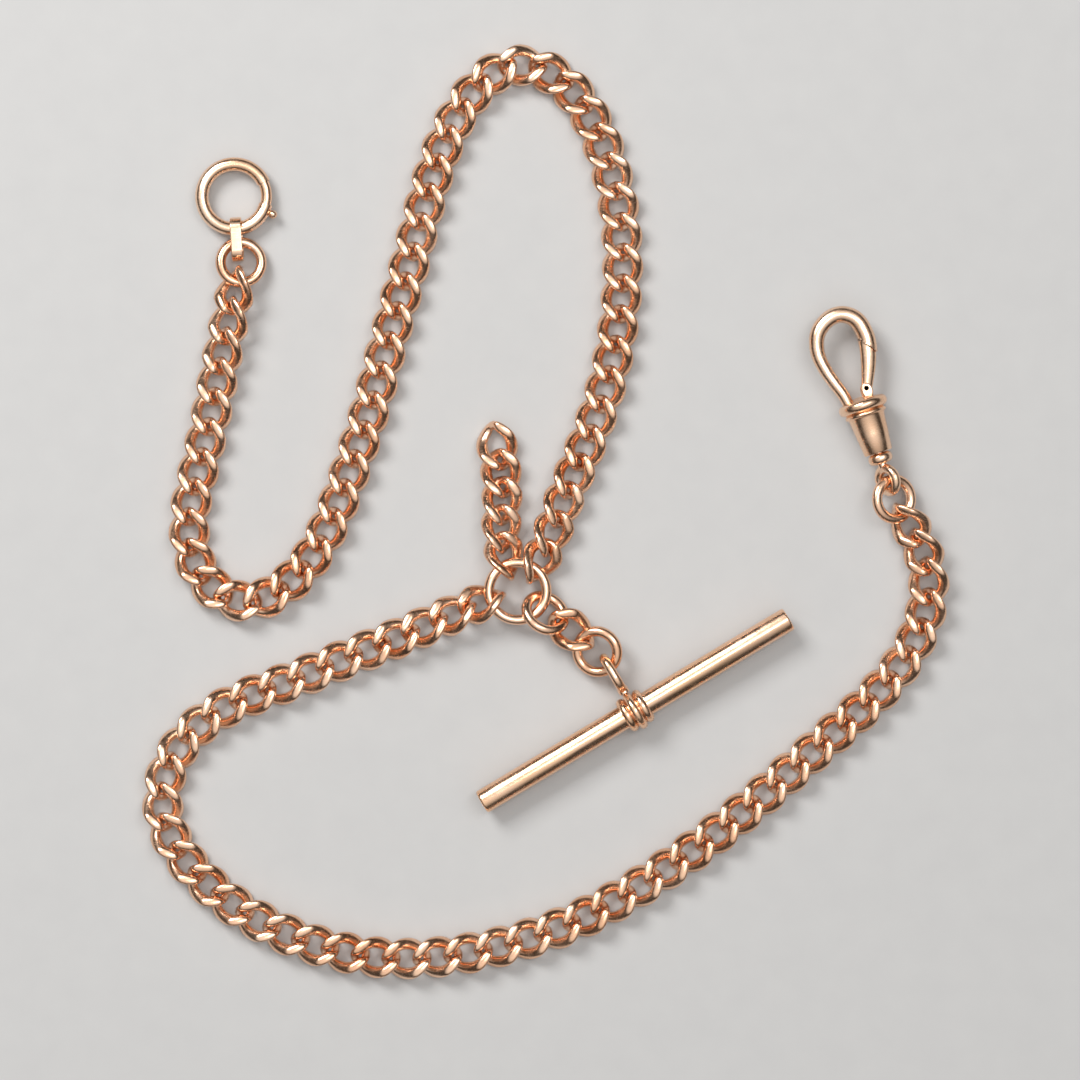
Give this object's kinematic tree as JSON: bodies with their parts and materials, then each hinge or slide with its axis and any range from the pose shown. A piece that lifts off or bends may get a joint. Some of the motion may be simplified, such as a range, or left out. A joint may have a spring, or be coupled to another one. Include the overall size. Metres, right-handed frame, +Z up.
{
  "type": "watch chain",
  "caption": "Curb-link watch chain with a T-bar, a spring clip, a bolt ring and a short fob drop, all meeting at one round ring.",
  "frame": {"origin": "on the resting surface, under the middle of the laid-out chain", "axes": "+Z up from the resting surface; the chain is laid out in XY, +X to the right and +Y away when seen from above, with the T-bar nearest and the bolt ring far left"},
  "size_m": [0.0926, 0.1072, 0.0058],
  "materials": {
    "rose_gold_links": "polished rose gold, softly worn on the crowns",
    "rose_gold_findings": "polished rose gold with fine scratches",
    "rose_gold_bar": "polished rose gold with fine scratches, yellower on two worn flats",
    "spring_steel": "drawn spring wire"
  },
  "bodies": {
    "centre_ring": {"centre_ring": "rose_gold_findings"},
    "watch_chain_01": {"watch_chain_01": "rose_gold_links"},
    "watch_chain_02": {"watch_chain_02": "rose_gold_links"},
    "watch_chain_03": {"watch_chain_03": "rose_gold_links"},
    "watch_chain_04": {"watch_chain_04": "rose_gold_links"},
    "watch_chain_05": {"watch_chain_05": "rose_gold_links"},
    "watch_chain_06": {"watch_chain_06": "rose_gold_links"},
    "watch_chain_07": {"watch_chain_07": "rose_gold_links"},
    "watch_chain_08": {"watch_chain_08": "rose_gold_links"},
    "watch_chain_09": {"watch_chain_09": "rose_gold_links"},
    "watch_chain_10": {"watch_chain_10": "rose_gold_links"},
    "watch_chain_11": {"watch_chain_11": "rose_gold_links"},
    "watch_chain_12": {"watch_chain_12": "rose_gold_links"},
    "watch_chain_13": {"watch_chain_13": "rose_gold_links"},
    "watch_chain_14": {"watch_chain_14": "rose_gold_links"},
    "watch_chain_15": {"watch_chain_15": "rose_gold_links"},
    "watch_chain_16": {"watch_chain_16": "rose_gold_links"},
    "watch_chain_17": {"watch_chain_17": "rose_gold_links"},
    "clip_chain_01": {"clip_chain_01": "rose_gold_links"},
    "clip_chain_02": {"clip_chain_02": "rose_gold_links"},
    "clip_chain_03": {"clip_chain_03": "rose_gold_links"},
    "clip_chain_04": {"clip_chain_04": "rose_gold_links"},
    "clip_chain_05": {"clip_chain_05": "rose_gold_links"},
    "clip_chain_06": {"clip_chain_06": "rose_gold_links"},
    "clip_chain_07": {"clip_chain_07": "rose_gold_links"},
    "clip_chain_08": {"clip_chain_08": "rose_gold_links"},
    "clip_chain_09": {"clip_chain_09": "rose_gold_links"},
    "clip_chain_10": {"clip_chain_10": "rose_gold_links"},
    "clip_chain_11": {"clip_chain_11": "rose_gold_links"},
    "clip_chain_12": {"clip_chain_12": "rose_gold_links"},
    "clip_chain_13": {"clip_chain_13": "rose_gold_links"},
    "clip_chain_14": {"clip_chain_14": "rose_gold_links"},
    "clip_chain_15": {"clip_chain_15": "rose_gold_links"},
    "clip_chain_16": {"clip_chain_16": "rose_gold_links"},
    "fob_drop_01": {"fob_drop_01": "rose_gold_links"},
    "fob_drop_02": {"fob_drop_02": "rose_gold_links"},
    "watch_jump_ring": {"watch_jump_ring": "rose_gold_findings"},
    "bolt_ring": {"bolt_ring_case": "rose_gold_findings", "bolt_ring_eye": "rose_gold_findings", "bolt_ring_spring": "spring_steel"},
    "bolt_tongue": {"bolt_ring_tongue": "rose_gold_findings", "bolt_ring_knob": "rose_gold_findings"},
    "bar_ring": {"bar_ring": "rose_gold_findings"},
    "bar_link": {"bar_link": "rose_gold_links"},
    "bar_jump_ring": {"bar_jump_ring": "rose_gold_findings"},
    "t_bar": {"bar_tube": "rose_gold_bar", "bar_end_caps": "rose_gold_bar", "bar_collar": "rose_gold_bar", "bar_eye": "rose_gold_findings"},
    "clip_jump_ring": {"clip_jump_ring": "rose_gold_findings"},
    "clip_swivel": {"clip_swivel_post": "rose_gold_findings", "clip_swivel_eye": "rose_gold_findings"},
    "clip_body": {"clip_barrel": "rose_gold_findings", "clip_hook": "rose_gold_findings", "clip_gate_pin": "rose_gold_findings", "clip_gate_spring": "spring_steel"},
    "clip_gate": {"clip_gate": "rose_gold_findings"}
  },
  "joints": [
    {"name": "link_watch_jump_ring", "type": "hinge", "parent": "watch_chain_17", "child": "watch_jump_ring", "pos_m": [-0.0353, 0.0272, 0.00206], "axis": [0.9801, -0.1984, 0], "range_deg": [0, 10]},
    {"name": "bolt_ring_hinge", "type": "hinge", "parent": "watch_jump_ring", "child": "bolt_ring", "pos_m": [-0.03526, 0.03102, 0.00137], "axis": [0.9945, 0.1047, 0], "range_deg": [0, 36]},
    {"name": "bolt_tongue_slide", "type": "hinge", "parent": "bolt_ring", "child": "bolt_tongue", "pos_m": [-0.0358, 0.0363, 0.00135], "axis": [0, 0, 1], "range_deg": [-38, 0], "stiffness_Nm_per_rad": 0.002, "springref_deg": 20, "deforming": ["bolt_ring_spring"]},
    {"name": "bar_ring_hinge", "type": "hinge", "parent": "centre_ring", "child": "bar_ring", "pos_m": [-0.00024, -0.00972, 0.00151], "axis": [-0.9918, -0.1276, 0], "range_deg": [0, 8]},
    {"name": "bar_link_hinge", "type": "hinge", "parent": "bar_ring", "child": "bar_link", "pos_m": [0.00228, -0.01188, 0.00206], "axis": [-0.556, -0.8312, 0], "range_deg": [0, 18]},
    {"name": "bar_jump_ring_hinge", "type": "hinge", "parent": "bar_link", "child": "bar_jump_ring", "pos_m": [0.00492, -0.01395, 0.00167], "axis": [-0.6402, -0.7682, 0], "range_deg": [0, 28]},
    {"name": "bar_hinge", "type": "hinge", "parent": "bar_jump_ring", "child": "t_bar", "pos_m": [0.00671, -0.01679, 0.00235], "axis": [0, 0, 1], "range_deg": [-12, 14]},
    {"name": "link_clip_jump_ring", "type": "hinge", "parent": "clip_chain_16", "child": "clip_jump_ring", "pos_m": [0.04069, 0.0001, 0.00206], "axis": [0.894, 0.4481, 0], "range_deg": [0, 30]},
    {"name": "clip_swivel_hinge", "type": "hinge", "parent": "clip_jump_ring", "child": "clip_swivel", "pos_m": [0.03914, 0.00291, 0.00275], "axis": [0.9489, 0.3156, 0], "range_deg": [0, 16]},
    {"name": "clip_turn", "type": "hinge", "parent": "clip_swivel", "child": "clip_body", "pos_m": [0.0364, 0.0122, 0.00287], "axis": [-0.3156, 0.9489, 0], "continuous": true},
    {"name": "clip_gate_hinge", "type": "hinge", "parent": "clip_body", "child": "clip_gate", "pos_m": [0.03675, 0.01416, 0.00287], "axis": [0, 0, 1], "range_deg": [0, 22], "stiffness_Nm_per_rad": 0.004, "springref_deg": -12, "deforming": ["clip_gate_spring"]},
    {"name": "link_watch_chain_01", "type": "hinge", "parent": "centre_ring", "child": "watch_chain_01", "pos_m": [-0.00152, -0.00727, 0.00206], "axis": [0.9795, 0.2015, 0], "range_deg": [0, 16]},
    {"name": "link_watch_chain_02", "type": "hinge", "parent": "watch_chain_01", "child": "watch_chain_02", "pos_m": [0.00253, 0.00251, 0.0016], "axis": [-0.9467, -0.3221, 0], "range_deg": [-16, 0]},
    {"name": "link_watch_chain_03", "type": "hinge", "parent": "watch_chain_02", "child": "watch_chain_03", "pos_m": [0.00639, 0.01241, 0.00127], "axis": [0.8444, 0.5357, 0], "range_deg": [0, 16]},
    {"name": "link_watch_chain_04", "type": "hinge", "parent": "watch_chain_03", "child": "watch_chain_04", "pos_m": [0.00856, 0.02279, 0.00127], "axis": [-0.7239, -0.6899, 0], "range_deg": [-16, 0]},
    {"name": "link_watch_chain_05", "type": "hinge", "parent": "watch_chain_04", "child": "watch_chain_05", "pos_m": [0.00865, 0.0334, 0.00127], "axis": [0.5542, 0.8324, 0], "range_deg": [0, 16]},
    {"name": "link_watch_chain_06", "type": "hinge", "parent": "watch_chain_05", "child": "watch_chain_06", "pos_m": [0.00607, 0.04367, 0.00127], "axis": [-0.4413, -0.8973, 0], "range_deg": [-16, 0]},
    {"name": "link_watch_chain_07", "type": "hinge", "parent": "watch_chain_06", "child": "watch_chain_07", "pos_m": [-0.0009, 0.05132, 0.00127], "axis": [0.282, 0.9594, 0], "range_deg": [0, 9.5]},
    {"name": "link_watch_chain_08", "type": "hinge", "parent": "watch_chain_07", "child": "watch_chain_08", "pos_m": [-0.00955, 0.04669, 0.00127], "axis": [0.838, -0.5456, 0], "range_deg": [-16, 0]},
    {"name": "link_watch_chain_09", "type": "hinge", "parent": "watch_chain_08", "child": "watch_chain_09", "pos_m": [-0.01348, 0.03686, 0.00127], "axis": [-0.9633, 0.2683, 0], "range_deg": [0, 16]},
    {"name": "link_watch_chain_10", "type": "hinge", "parent": "watch_chain_09", "child": "watch_chain_10", "pos_m": [-0.01616, 0.02658, 0.00127], "axis": [0.8182, -0.5749, 0], "range_deg": [-16, 0]},
    {"name": "link_watch_chain_11", "type": "hinge", "parent": "watch_chain_10", "child": "watch_chain_11", "pos_m": [-0.01895, 0.01633, 0.00127], "axis": [-0.576, 0.8175, 0], "range_deg": [0, 11]},
    {"name": "link_watch_chain_12", "type": "hinge", "parent": "watch_chain_11", "child": "watch_chain_12", "pos_m": [-0.02198, 0.00615, 0.00127], "axis": [0.3617, -0.9323, 0], "range_deg": [-9.5, 0]},
    {"name": "link_watch_chain_13", "type": "hinge", "parent": "watch_chain_12", "child": "watch_chain_13", "pos_m": [-0.02591, -0.00371, 0.00127], "axis": [-0.1848, 0.9828, 0], "range_deg": [0, 9.5]},
    {"name": "link_watch_chain_14", "type": "hinge", "parent": "watch_chain_13", "child": "watch_chain_14", "pos_m": [-0.03367, -0.01054, 0.00127], "axis": [0, 0, -1], "range_deg": [-8, 0]},
    {"name": "link_watch_chain_15", "type": "hinge", "parent": "watch_chain_14", "child": "watch_chain_15", "pos_m": [-0.04092, -0.00408, 0.00127], "axis": [0.9811, 0.1933, 0], "range_deg": [0, 16]},
    {"name": "link_watch_chain_16", "type": "hinge", "parent": "watch_chain_15", "child": "watch_chain_16", "pos_m": [-0.03951, 0.00638, 0.00127], "axis": [-0.9717, 0.2363, 0], "range_deg": [-16, 0]},
    {"name": "link_watch_chain_17", "type": "hinge", "parent": "watch_chain_16", "child": "watch_chain_17", "pos_m": [-0.03738, 0.01678, 0.0016], "axis": [0.9815, -0.1917, 0], "range_deg": [0, 16]},
    {"name": "link_clip_chain_01", "type": "hinge", "parent": "centre_ring", "child": "clip_chain_01", "pos_m": [-0.00558, -0.00977, 0.00206], "axis": [0, 0, 1], "range_deg": [-6.5, 8]},
    {"name": "link_clip_chain_02", "type": "hinge", "parent": "clip_chain_01", "child": "clip_chain_02", "pos_m": [-0.01545, -0.01386, 0.0016], "axis": [0, 0, -1], "range_deg": [-8, 8]},
    {"name": "link_clip_chain_03", "type": "hinge", "parent": "clip_chain_02", "child": "clip_chain_03", "pos_m": [-0.02536, -0.01788, 0.00127], "axis": [0, 0, 1], "range_deg": [-8, 8]},
    {"name": "link_clip_chain_04", "type": "hinge", "parent": "clip_chain_03", "child": "clip_chain_04", "pos_m": [-0.03533, -0.02172, 0.00127], "axis": [0, 0, -1], "range_deg": [-6.5, 8]},
    {"name": "link_clip_chain_05", "type": "hinge", "parent": "clip_chain_04", "child": "clip_chain_05", "pos_m": [-0.04318, -0.02867, 0.00127], "axis": [0, 0, 1], "range_deg": [-8, 5]},
    {"name": "link_clip_chain_06", "type": "hinge", "parent": "clip_chain_05", "child": "clip_chain_06", "pos_m": [-0.04237, -0.03887, 0.00127], "axis": [0.744, 0.6682, 0], "range_deg": [-16, 0]},
    {"name": "link_clip_chain_07", "type": "hinge", "parent": "clip_chain_06", "child": "clip_chain_07", "pos_m": [-0.03462, -0.04613, 0.00127], "axis": [-0.5322, -0.8466, 0], "range_deg": [0, 16]},
    {"name": "link_clip_chain_08", "type": "hinge", "parent": "clip_chain_07", "child": "clip_chain_08", "pos_m": [-0.02482, -0.05031, 0.00127], "axis": [0.2501, 0.9682, 0], "range_deg": [-16, 0]},
    {"name": "link_clip_chain_09", "type": "hinge", "parent": "clip_chain_08", "child": "clip_chain_09", "pos_m": [-0.01422, -0.05137, 0.00127], "axis": [0.049, -0.9988, 0], "range_deg": [0, 16]},
    {"name": "link_clip_chain_10", "type": "hinge", "parent": "clip_chain_09", "child": "clip_chain_10", "pos_m": [-0.00369, -0.04962, 0.00127], "axis": [-0.2632, 0.9647, 0], "range_deg": [-16, 0]},
    {"name": "link_clip_chain_11", "type": "hinge", "parent": "clip_chain_10", "child": "clip_chain_11", "pos_m": [0.00626, -0.04576, 0.00127], "axis": [0.4574, -0.8893, 0], "range_deg": [0, 16]},
    {"name": "link_clip_chain_12", "type": "hinge", "parent": "clip_chain_11", "child": "clip_chain_12", "pos_m": [0.01535, -0.04014, 0.00127], "axis": [-0.5707, 0.8212, 0], "range_deg": [-16, 0]},
    {"name": "link_clip_chain_13", "type": "hinge", "parent": "clip_chain_12", "child": "clip_chain_13", "pos_m": [0.02383, -0.03363, 0.00127], "axis": [0.6418, -0.7669, 0], "range_deg": [0, 16]},
    {"name": "link_clip_chain_14", "type": "hinge", "parent": "clip_chain_13", "child": "clip_chain_14", "pos_m": [0.0319, -0.02663, 0.00127], "axis": [-0.6561, 0.7547, 0], "range_deg": [-16, 0]},
    {"name": "link_clip_chain_15", "type": "hinge", "parent": "clip_chain_14", "child": "clip_chain_15", "pos_m": [0.03966, -0.01928, 0.00127], "axis": [0.7699, -0.6381, 0], "range_deg": [0, 16]},
    {"name": "link_clip_chain_16", "type": "hinge", "parent": "clip_chain_15", "child": "clip_chain_16", "pos_m": [0.04415, -0.00974, 0.0016], "axis": [-0.9963, 0.0864, 0], "range_deg": [-9.5, 0]},
    {"name": "link_fob_drop_01", "type": "hinge", "parent": "centre_ring", "child": "fob_drop_01", "pos_m": [-0.00421, -0.00665, 0.00206], "axis": [0.9641, 0.2655, 0], "range_deg": [0, 11]},
    {"name": "link_fob_drop_02", "type": "hinge", "parent": "fob_drop_01", "child": "fob_drop_02", "pos_m": [-0.00495, 0.00283, 0.0016], "axis": [-0.9997, -0.0246, 0], "range_deg": [-8, 0]}
  ]
}
